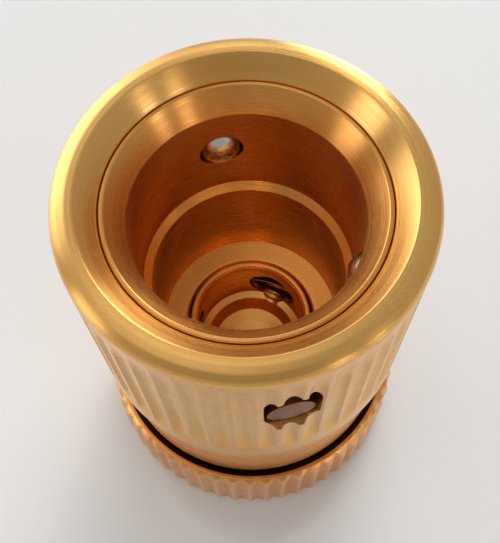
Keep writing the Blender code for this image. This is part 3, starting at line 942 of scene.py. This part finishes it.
@dataclass
class LockingSleeve(Assembly):
    """The outer sleeve, with a fluted grip and the slot of the stop pin."""

    lip: float = 12.17
    rounding: tuple[Point, ...] = ((12.75, 0.02), (13.3, 0.17), (13.72, 0.42), (13.93, 0.72))
    rounding_drop: float = 1.05
    skirt_edge: float = 0.25
    skirt_chamfer: float = 0.3
    skirt_bore: float = 12.9
    inner: float = 10.95
    lip_bore: float = 10.73
    lip_span: Point = (38.7, 39.85)
    flange: tuple[float, float] = (28.3, 30.9)
    land_bore: float = 12.1
    land_top: float = 33.6
    release_bore: float = 12.95
    release: Point = (35.0, 38.5)
    flute_count: int = 48
    flute_radius: float = 0.8
    flute_depth: float = 0.45
    flute_low: float = 22.8
    flute_high: float = 40.4
    run_out: float = 1.4
    top_run_out: float = 4.4
    columns: int = 10
    slot_azimuth: float = -78.0
    slot_width: float = 4.4
    slot_low: float = 28.6
    slot_high: float = 36.0
    slot_span: Point = (9.0, 16.0)
    ease: float = 0.09

    def rows(self) -> list[float]:
        """Return the heights of the rings along the grip, from the top down.

        Returns:
            The heights.
        """
        steps = (0.0, 0.15, 0.35, 0.6, 0.85, 1.0)
        upper = [self.flute_high - self.top_run_out * step for step in steps]
        lower = [self.flute_low + self.run_out * step for step in reversed(steps)]
        return upper + lower

    def profile(self) -> list[Point]:
        """Return the outline, from the lip down the outside and up the inside.

        Returns:
            The (radius, height) corners.
        """
        radius, bottom, top = reach("locking_sleeve")
        grip = [(radius, height) for height in self.rows()]
        return [
            (self.lip, top),
            *((reached, top - drop) for reached, drop in self.rounding),
            (radius, top - self.rounding_drop),
            *grip,
            (radius, bottom + self.skirt_edge),
            (radius - self.skirt_edge, bottom),
            (self.skirt_bore + self.skirt_chamfer, bottom),
            (self.skirt_bore, bottom + self.skirt_chamfer),
            (self.skirt_bore, self.flange[0]),
            (self.inner, self.flange[0]),
            (self.inner, self.flange[1]),
            (self.land_bore, self.flange[1]),
            (self.land_bore, self.land_top),
            (self.release_bore, self.release[0]),
            (self.release_bore, self.release[1]),
            (self.inner, self.release[1]),
            (self.lip_bore, self.lip_span[0]),
            (self.lip_bore, self.lip_span[1]),
        ]

    def flute_depth_at(self, place: Vector) -> float:
        """Return how deep the grip is pressed at a place on the outside.

        Args:
            place: The place, in millimetres.

        Returns:
            The depth.
        """
        radius = reach("locking_sleeve")[0]
        if math.hypot(place.x, place.y) < radius - 0.01:
            return 0.0
        from_top = (self.flute_high - place.z) / self.top_run_out
        share = min(from_top, (place.z - self.flute_low) / self.run_out, 1.0)
        if share <= 0.0:
            return 0.0
        pitch = math.tau / self.flute_count
        turned = math.atan2(place.y, place.x) / pitch
        across = (turned - math.floor(turned) - 0.5) * pitch * radius
        drop = self.flute_radius - self.flute_depth
        inside = self.flute_radius**2 - across**2
        groove = math.sqrt(inside) - drop if inside > drop**2 else 0.0
        return groove * share

    def slot_cutter(self) -> bpy.types.Object:
        """Return a drill that is drawn out into the slot's oblong.

        Returns:
            The drill.
        """
        middle = (self.slot_low + self.slot_high) / 2
        drill = radial_drill(self.slot_azimuth, middle, self.slot_width / 2, self.slot_span)
        stretch = (self.slot_high - self.slot_low - self.slot_width) / 2 * MM
        bpy.ops.object.mode_set(mode="EDIT")
        bpy.ops.mesh.select_mode(type="VERT")
        for side in (1.0, -1.0):
            bpy.ops.mesh.select_all(action="DESELECT")
            shape = bmesh.from_edit_mesh(drill.data)
            for vertex in shape.verts:
                vertex.select_set((vertex.co.z - middle * MM) * side > 1e-6)
            bmesh.update_edit_mesh(drill.data)
            bpy.ops.transform.translate(value=(0.0, 0.0, stretch * side))
        bpy.ops.object.mode_set(mode="OBJECT")
        return drill

    def build(self) -> None:
        """Build and dress the sleeve."""
        sides = self.flute_count * self.columns
        piece = turn("sleeve_fluted", eased(self.profile(), self.ease), sides)
        press_rim(piece, self.flute_depth_at)
        cut(piece, [self.slot_cutter()])
        self.hand_over(piece, "turned_brass", Body.SLEEVE.value, "locking_sleeve", angle=32.0)


@dataclass
class LockingBalls(Assembly):
    """The balls that lock a plug in the bore."""

    count: int = 3
    cuts: int = 19

    def build(self) -> None:
        """Build one ball, a cube of even faces rounded to a sphere, and dress a copy for each node."""
        clear_selection()
        bpy.ops.mesh.primitive_cube_add(size=1.0)
        pattern = bpy.context.object
        bpy.ops.object.mode_set(mode="EDIT")
        bpy.ops.mesh.select_all(action="SELECT")
        bpy.ops.mesh.subdivide(number_cuts=self.cuts)
        bpy.ops.transform.tosphere(value=1.0)
        bpy.ops.object.mode_set(mode="OBJECT")
        width = max(vertex.co.z for vertex in pattern.data.vertices) * 2.0
        for number in range(1, self.count + 1):
            low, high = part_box(f"locking_ball_{number}")
            ball = bpy.data.objects.new(f"ball_{number}_polished", pattern.data.copy())
            bpy.context.scene.collection.objects.link(ball)
            ball.scale = ((high.z - low.z) / width,) * 3
            ball.location = (low + high) / 2
            settle(ball)
            self.hand_over(ball, "ball_steel", f"ball_{number}", f"locking_ball_{number}", ROUND_ANGLE)
        bpy.data.objects.remove(pattern, do_unlink=True)


@dataclass
class StopPin(Assembly):
    """The pin in the neck that keeps the sleeve from turning."""

    azimuth: float = -78.0
    height: float = 30.8
    radius: float = 1.9
    inner_end: float = 9.5
    outer_end: float = 13.45
    dome: float = 0.22
    dome_angles: tuple[float, ...] = (12.0, 28.0, 44.0, 60.0, 75.0, 90.0)
    edge: float = 0.2
    sides: int = 64

    def build(self) -> None:
        """Build and dress the pin, with a domed head and a centre mark."""
        length = self.outer_end - self.inner_end
        outline = []
        for angle in map(math.radians, self.dome_angles):
            rise = length - self.dome + self.dome * math.cos(angle)
            outline.append((self.radius * math.sin(angle), rise))
        outline += [(self.radius, self.edge), (self.radius - self.edge, 0.0), (self.radius / 4, 0.0)]
        piece = turn("pin_domed", outline, self.sides, closed=False)
        piece.rotation_euler = outward_turn(self.azimuth)
        piece.location = radial_place(self.azimuth, self.inner_end, self.height)
        settle(piece)
        self.hand_over(piece, "pin_brass_painted_shade", Body.COUPLING.value, "stop_pin")


@dataclass
class WaterStop(Assembly):
    """The plunger with its drilled windows, its seal, and the disc and ring under its spring."""

    hole: float = 0.4
    cup_floor: Point = (3.94, 9.4)
    shelf: tuple[Point, Point] = ((4.45, 11.1), (5.2, 11.3))
    window_band: Point = (5.2, 15.2)
    cup: Point = (5.0, 15.4)
    flare: Point = (5.3, 0.3)
    outer: float = 5.7
    edge: float = 0.12
    waist: float = 5.55
    waist_rise: Point = (0.8, 1.0)
    flange: Point = (6.9, 8.3)
    boss: Point = (3.7, 7.7)
    window_radius: float = 2.5
    window_height: float = 13.5
    window_span: Point = (3.9, 7.2)
    window_first: float = 61.5
    window_count: int = 3
    seal_radius: float = 6.22
    seal_height: float = 10.0
    seal_section: float = 0.6
    seal_seam: float = 0.02
    seal_gap: float = 0.06
    seal_corners: int = 24
    seat_ring: float = 3.95
    seat_hole: float = 1.6
    seat_middle_hole: float = 1.4
    seat_holes: int = 6
    clip_inner: float = 7.1
    clip_gap: tuple[float, float, float] = (3.0, 4.0, 3.0)
    clip_gap_place: float = -8.0
    ease: float = 0.06
    disc_ease: float = 0.1
    sides: int = 192
    disc_sides: int = 120

    def plunger_profile(self) -> list[Point]:
        """Return the outline, from the cup's floor over the rim to the boss below.

        Returns:
            The (radius, height) corners.
        """
        top = reach("valve_plunger")[2]
        groove = self.seal_height - self.seal_section - self.seal_gap
        return [
            (self.hole, self.cup_floor[1]),
            self.cup_floor,
            *self.shelf,
            self.window_band,
            self.cup,
            (self.cup[0], top - self.flare[1]),
            (self.flare[0], top),
            (self.outer - self.edge, top),
            (self.outer, top - self.edge),
            (self.outer, self.seal_height + self.waist_rise[1]),
            (self.waist, self.seal_height + self.waist_rise[0]),
            (self.waist, groove),
            (self.flange[0], groove),
            self.flange,
            (self.boss[0], self.flange[1]),
            self.boss,
            (self.hole, self.boss[1]),
        ]

    def build_plunger(self) -> None:
        """Build and dress the plunger."""
        outline = eased(self.plunger_profile(), self.ease, closed=False)
        piece = turn("plunger_turned", outline, self.sides, closed=False)
        drills = []
        for i in range(self.window_count):
            azimuth = self.window_first + i * 360.0 / self.window_count
            drill = ridged_drill(azimuth, self.window_height, self.window_radius, self.window_span)
            drills.append(drill)
        cut(piece, drills)
        self.hand_over(piece, "bored_brass", Body.PLUNGER.value, "valve_plunger")

    def build_seal(self) -> None:
        """Build and dress the seal ring, with its moulding seam."""
        outline = []
        for i in range(self.seal_corners):
            angle = math.tau * (i + 0.5) / self.seal_corners
            seam = self.seal_seam if i in (0, self.seal_corners - 1) else 0.0
            radius = self.seal_radius + self.seal_section * (1.0 + seam) * math.cos(angle)
            outline.append((radius, self.seal_height + self.seal_section * math.sin(angle)))
        piece = turn("seal_moulded", outline, self.sides)
        self.hand_over(piece, "seal_rubber", Body.PLUNGER.value, "valve_seal", ROUND_ANGLE)

    def build_seat(self) -> None:
        """Build and dress the drilled disc that the valve spring stands on."""
        radius, bottom, top = reach("valve_spring_seat")
        corners = [(self.hole, top), (radius, top), (radius, bottom), (self.hole, bottom)]
        outline = eased(corners, self.disc_ease, closed=False)
        piece = turn("spring_seat_drilled", outline, self.disc_sides, closed=False)
        step = 360.0 / self.seat_holes
        holes = [(step * i, self.seat_ring, self.seat_hole) for i in range(self.seat_holes)]
        drills = []
        for azimuth, spread, size in (*holes, (0.0, 0.0, self.seat_middle_hole)):
            clear_selection()
            bpy.ops.mesh.primitive_cylinder_add(
                vertices=40,
                radius=size * MM,
                depth=3.0 * MM,
                location=radial_place(azimuth, spread, (top + bottom) / 2),
            )
            settle(bpy.context.object)
            drills.append(bpy.context.object)
        cut(piece, drills)
        self.hand_over(piece, "turned_brass", Body.COUPLING.value, "valve_spring_seat")

    def build_clip(self) -> None:
        """Build and dress the open retaining ring."""
        radius, bottom, top = reach("spring_seat_clip")
        corners = [(radius, top), (radius, bottom), (self.clip_inner, bottom), (self.clip_inner, top)]
        piece = turn("seat_clip_open", eased(corners, self.disc_ease), self.disc_sides)
        clear_selection()
        place = (0.0, self.clip_gap_place * MM, (bottom + top) / 2 * MM)
        bpy.ops.mesh.primitive_cube_add(size=MM, location=place, scale=self.clip_gap)
        gap = bpy.context.object
        settle(gap)
        cut(piece, [gap])
        self.hand_over(piece, "spring_wire", Body.COUPLING.value, "spring_seat_clip")

    def build(self) -> None:
        """Build and dress the whole water stop but its spring."""
        self.build_plunger()
        self.build_seal()
        self.build_seat()
        self.build_clip()


@dataclass
class Spring(Assembly):
    """A compression spring that a sliding piece presses on."""

    name: str
    node: str
    joint: str
    radius_low: float
    radius_high: float
    wire: float
    turns: float
    per_turn: int = 40

    def centre_line(self) -> list[Vector]:
        """Return the points of the wire's middle, in metres.

        Returns:
            The points, from the bottom up.
        """
        low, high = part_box(self.node)
        start = low.z / MM + self.wire
        end = high.z / MM - self.wire
        count = int(self.turns * self.per_turn) + 1
        points = []
        for i in range(count):
            share = i / (count - 1)
            rise = share * share * (3.0 - 2.0 * share)
            radius = self.radius_low + (self.radius_high - self.radius_low) * share
            height = start + (end - start) * rise
            points.append(radial_place(360.0 * self.turns * share, radius, height))
        return points

    def build(self) -> None:
        """Build and dress the spring."""
        piece = add_wire(self.name, self.centre_line(), self.wire)
        self.hand_over(piece, "spring_wire", Body.COUPLING.value, self.node, WIRE_ANGLE)
        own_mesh(piece)


def add_wire(name: str, points: Sequence[Vector], radius: float) -> bpy.types.Object:
    """Add a closed tube of round wire along some points.

    Args:
        name: The name of the new object.
        points: The middle line, in metres.
        radius: The wire's radius, in millimetres.

    Returns:
        The wire, as a mesh.
    """
    curve = bpy.data.curves.new(name, "CURVE")
    curve.dimensions = "3D"
    curve.bevel_depth = radius * MM
    curve.bevel_resolution = WIRE_ROUNDING
    curve.use_fill_caps = True
    spline = curve.splines.new("POLY")
    spline.points.add(len(points) - 1)
    for spot, point in zip(spline.points, points):
        spot.co = (*point, 1.0)
    wire = bpy.data.objects.new(name, curve)
    bpy.context.scene.collection.objects.link(wire)
    activate(wire)
    bpy.ops.object.convert(target="MESH")
    piece = bpy.context.object
    bpy.ops.object.mode_set(mode="EDIT")
    bpy.ops.mesh.select_all(action="SELECT")
    bpy.ops.mesh.remove_doubles(threshold=1e-7)
    bpy.ops.mesh.normals_make_consistent(inside=False)
    bpy.ops.object.mode_set(mode="OBJECT")
    return piece


@dataclass
class SwivelNut(Assembly):
    """The toothed hose nut with its thread, its washer and the ring that keeps it on."""

    tooth_count: int = 54
    tooth_depth: float = 0.5
    columns: int = 8
    thread_major: float = 13.22
    thread_minor: float = 12.06
    thread_pitch: float = 1.814
    thread_start: float = 0.75
    thread_turns: int = 2
    relief: float = 13.12
    relief_span: Point = (4.3, 8.3)
    bore: float = 12.5
    rim_bore: float = 13.7
    rim_floor: float = 8.9
    rim: float = 14.05
    bevel: Point = (14.45, 0.35)
    shoulder: float = 1.6
    foot: Point = (0.4, 0.5)
    mouth_gap: float = 0.2
    ease: float = 0.06
    washer_bore: float = 9.3
    washer_ease: float = 0.2
    washer_sides: int = 160
    ring_radius: float = 12.3
    ring_wire: float = 0.55
    ring_start: float = 101.0
    ring_sweep: float = 338.0
    ring_points: int = 120

    def thread(self) -> list[Point]:
        """Return the thread's outline, from the mouth up.

        Returns:
            The (radius, height) corners.
        """
        points: list[Point] = []
        for turn_number in range(self.thread_turns):
            start = self.thread_start + self.thread_pitch * turn_number
            points += [
                (self.thread_minor, start),
                (self.thread_major, start + self.thread_pitch * 0.4),
                (self.thread_major, start + self.thread_pitch * 0.5),
                (self.thread_minor, start + self.thread_pitch * 0.88),
            ]
        return points

    def profile(self) -> list[Point]:
        """Return the outline, from the top down the outside and up the thread.

        Returns:
            The (radius, height) corners.
        """
        radius, bottom, top = reach("swivel_nut")
        return [
            (self.rim, top),
            (self.bevel[0], top - self.bevel[1]),
            (radius, top - self.shoulder),
            (radius, bottom + self.foot[1]),
            (radius - self.foot[0], bottom),
            (self.thread_major + self.mouth_gap, bottom),
            *self.thread(),
            (self.relief, self.relief_span[0]),
            (self.relief, self.relief_span[1]),
            (self.bore, self.relief_span[1]),
            (self.bore, self.rim_floor),
            (self.rim_bore, self.rim_floor),
            (self.rim_bore, top),
        ]

    def tooth_depth_at(self, place: Vector) -> float:
        """Return how deep the toothed edge is pressed at a place on the outside.

        Args:
            place: The place, in millimetres.

        Returns:
            The depth.
        """
        crest = reach("swivel_nut")[0]
        radius = math.hypot(place.x, place.y)
        if radius < crest - self.tooth_depth:
            return 0.0
        pitch = math.tau / self.tooth_count
        turned = math.atan2(place.y, place.x) / pitch
        from_gap = abs(turned - math.floor(turned) - 0.5) * 2.0
        depth = self.tooth_depth * min(1.0, (1.0 - from_gap) * 1.08)
        return max(0.0, radius - (crest - depth))

    def build(self) -> None:
        """Build and dress the nut, its washer and its snap ring."""
        sides = self.tooth_count * self.columns
        piece = turn("nut_toothed", eased(self.profile(), self.ease), sides)
        press_rim(piece, self.tooth_depth_at)
        self.hand_over(piece, "rolled_brass", Body.NUT.value, "swivel_nut", angle=24.0)

        radius, bottom, top = reach("hose_washer")
        corners = [(radius, top), (radius, bottom), (self.washer_bore, bottom), (self.washer_bore, top)]
        washer = turn("washer_moulded", eased(corners, self.washer_ease), self.washer_sides)
        self.hand_over(washer, "seal_rubber", Body.NUT.value, "hose_washer", angle=50.0)

        low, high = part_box("nut_snap_ring")
        height = (low.z + high.z) / 2 / MM
        step = self.ring_sweep / (self.ring_points - 1)
        azimuths = [self.ring_start + step * i for i in range(self.ring_points)]
        points = [radial_place(azimuth, self.ring_radius, height) for azimuth in azimuths]
        ring = add_wire("snap_ring_wire", points, self.ring_wire)
        self.hand_over(ring, "spring_wire", Body.COUPLING.value, "nut_snap_ring", WIRE_ANGLE)


# ---------------------------------------------------------------- studio


@dataclass(frozen=True)
class Glow:
    """A soft bright or dark patch of the room round the coupling."""

    azimuth: float
    elevation: float
    inner: float
    outer: float
    strength: float

    def aim(self) -> tuple[float, float, float]:
        """Return the direction of the patch's middle, seen from the coupling.

        Returns:
            The direction, of length 1.
        """
        azimuth, elevation = math.radians(self.azimuth), math.radians(self.elevation)
        level = math.cos(elevation)
        return math.cos(azimuth) * level, math.sin(azimuth) * level, math.sin(elevation)


@dataclass
class Studio:
    """The camera, the white table and the soft room light."""

    camera_place: tuple[float, float, float] = (0.0, -29.38, 93.47)
    camera_pitch: float = 65.89
    camera_yaw: float = 0.2
    camera_roll: float = -2.22
    focal: float = 56.35
    sensor: float = 36.0
    table_size: float = 3.0
    table_drop: float = 0.02
    table_tones: tuple[Colour, Colour] = ((0.85, 0.847, 0.843), (0.83, 0.822, 0.815))
    lamp_place: tuple[float, float, float] = (0.15, 0.45, 0.75)
    lamp_size: float = 0.5
    lamp_power: float = 3.1
    daylight: Colour = (1.0, 0.99, 0.975)
    room: float = 0.44
    table_light: float = 0.51
    glows: tuple[Glow, ...] = (
        Glow(69.0, 34.0, 4.0, 10.0, 7.0),
        Glow(70.0, 6.0, 5.0, 14.0, 6.0),
        Glow(92.0, 33.0, 4.0, 12.0, 1.8),
        Glow(134.0, 16.0, 8.0, 38.0, 2.4),
        Glow(-33.0, 18.0, 2.0, 6.0, 4.5),
        Glow(-52.0, 16.0, 2.0, 6.0, 5.5),
        Glow(-167.0, 17.0, 5.0, 13.0, 3.0),
        Glow(160.0, 79.0, 6.0, 26.0, 0.6),
        Glow(-90.0, 50.0, 25.0, 50.0, -0.12),
    )

    def add_camera(self) -> None:
        """Add the camera above the front of the mouth."""
        turns = (self.camera_pitch, self.camera_yaw, self.camera_roll)
        pitch, yaw, roll = map(math.radians, turns)
        level = math.cos(pitch)
        ahead = Vector((math.sin(yaw) * level, math.cos(yaw) * level, -math.sin(pitch)))
        right = ahead.cross(Vector((0.0, 0.0, 1.0))).normalized()
        up = right.cross(ahead)
        side = right * math.cos(roll) + up * math.sin(roll)
        top = up * math.cos(roll) - right * math.sin(roll)
        data = bpy.data.cameras.new("camera")
        data.lens = self.focal
        data.sensor_width = self.sensor
        data.clip_start = 0.001
        camera = bpy.data.objects.new("camera", data)
        bpy.context.scene.collection.objects.link(camera)
        turned = Matrix((side, top, -ahead)).transposed()
        camera.matrix_world = Matrix.Translation(Vector(self.camera_place) * MM) @ turned.to_4x4()
        bpy.context.scene.camera = camera

    def add_table(self) -> None:
        """Add the glossy white table that the coupling stands on."""
        clear_selection()
        place = (0.0, 0.0, -self.table_drop * MM)
        bpy.ops.mesh.primitive_plane_add(size=self.table_size, location=place)
        table = bpy.context.object
        table.name = "table"
        material, web, shader, place = new_material("white_table")
        tones = [(*tone, 1.0) for tone in self.table_tones]
        web.feed(shader.inputs["Base Color"], web.blend(web.noise(place, 9.0, 3.0), *tones))
        gloss = {"Roughness": 0.4, "Coat Weight": 1.0, "Coat IOR": 1.62, "Coat Roughness": 0.07}
        for name, value in gloss.items():
            shader.inputs[name].default_value = value
        table.data.materials.append(material)

    def add_room(self) -> None:
        """Add the room's light, a pale dome with soft brighter and darker patches."""
        world = bpy.data.worlds.new("room")
        bpy.context.scene.world = world
        world.use_nodes = True
        web = Web(world.node_tree)
        background = world.node_tree.nodes["Background"]
        direction = web.add("ShaderNodeTexCoord").outputs["Generated"]
        total: object = self.room
        for glow in self.glows:
            near = web.add("ShaderNodeVectorMath", operation="DOT_PRODUCT")
            web.feed(near.inputs[0], direction)
            web.feed(near.inputs[1], glow.aim())
            edges = (math.cos(math.radians(glow.outer)), math.cos(math.radians(glow.inner)))
            share = web.span(near.outputs["Value"], edges, (0.0, glow.strength))
            total = web.math("ADD", total, share)
        path = web.add("ShaderNodeLightPath")
        lit = web.add("ShaderNodeMix", data_type="FLOAT")
        web.feed(lit.inputs["Factor"], path.outputs["Is Diffuse Ray"])
        web.feed(lit.inputs[2], total)
        web.feed(lit.inputs[3], self.table_light)
        web.feed(background.inputs["Strength"], lit.outputs[0])
        background.inputs["Color"].default_value = (*self.daylight, 1.0)
        bpy.context.scene.view_settings.view_transform = "Standard"

    def add_lamp(self) -> None:
        """Add the soft lamp above and behind the coupling, which lights the table."""
        data = bpy.data.lights.new("lamp", "AREA")
        data.shape = "DISK"
        data.size = self.lamp_size
        data.energy = self.lamp_power
        data.specular_factor = 0.0
        lamp = bpy.data.objects.new("lamp", data)
        bpy.context.scene.collection.objects.link(lamp)
        lamp.location = Vector(self.lamp_place)
        lamp.rotation_euler = (-lamp.location).to_track_quat("-Z", "Y").to_euler()
        lamp.visible_glossy = False

    def build(self) -> None:
        """Build the studio."""
        self.add_camera()
        self.add_table()
        self.add_room()
        self.add_lamp()


def main() -> None:
    """Build the coupling's pieces in order, then the studio."""
    logging.basicConfig(level=logging.INFO, format="%(name)s: %(message)s")
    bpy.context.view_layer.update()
    finishes = Finishes()
    sleeve_spring = Spring(
        finishes,
        name="sleeve_spring_wound",
        node="sleeve_spring",
        joint="sleeve_slide",
        radius_low=11.7,
        radius_high=11.7,
        wire=0.5,
        turns=3.25,
    )
    valve_spring = Spring(
        finishes,
        name="valve_spring_wound",
        node="valve_spring",
        joint="plunger_slide",
        radius_low=6.7,
        radius_high=4.15,
        wire=0.35,
        turns=3.0,
    )
    assemblies = [
        CouplingBody(finishes),
        LockingSleeve(finishes),
        LockingBalls(finishes),
        StopPin(finishes),
        WaterStop(finishes),
        sleeve_spring,
        valve_spring,
        SwivelNut(finishes),
    ]
    for assembly in assemblies:
        assembly.build()
        for piece in assembly.pieces:
            LOG.info("%s: %d faces", piece.name, len(piece.data.polygons))
    Studio().build()


if __name__ == "__main__":
    main()
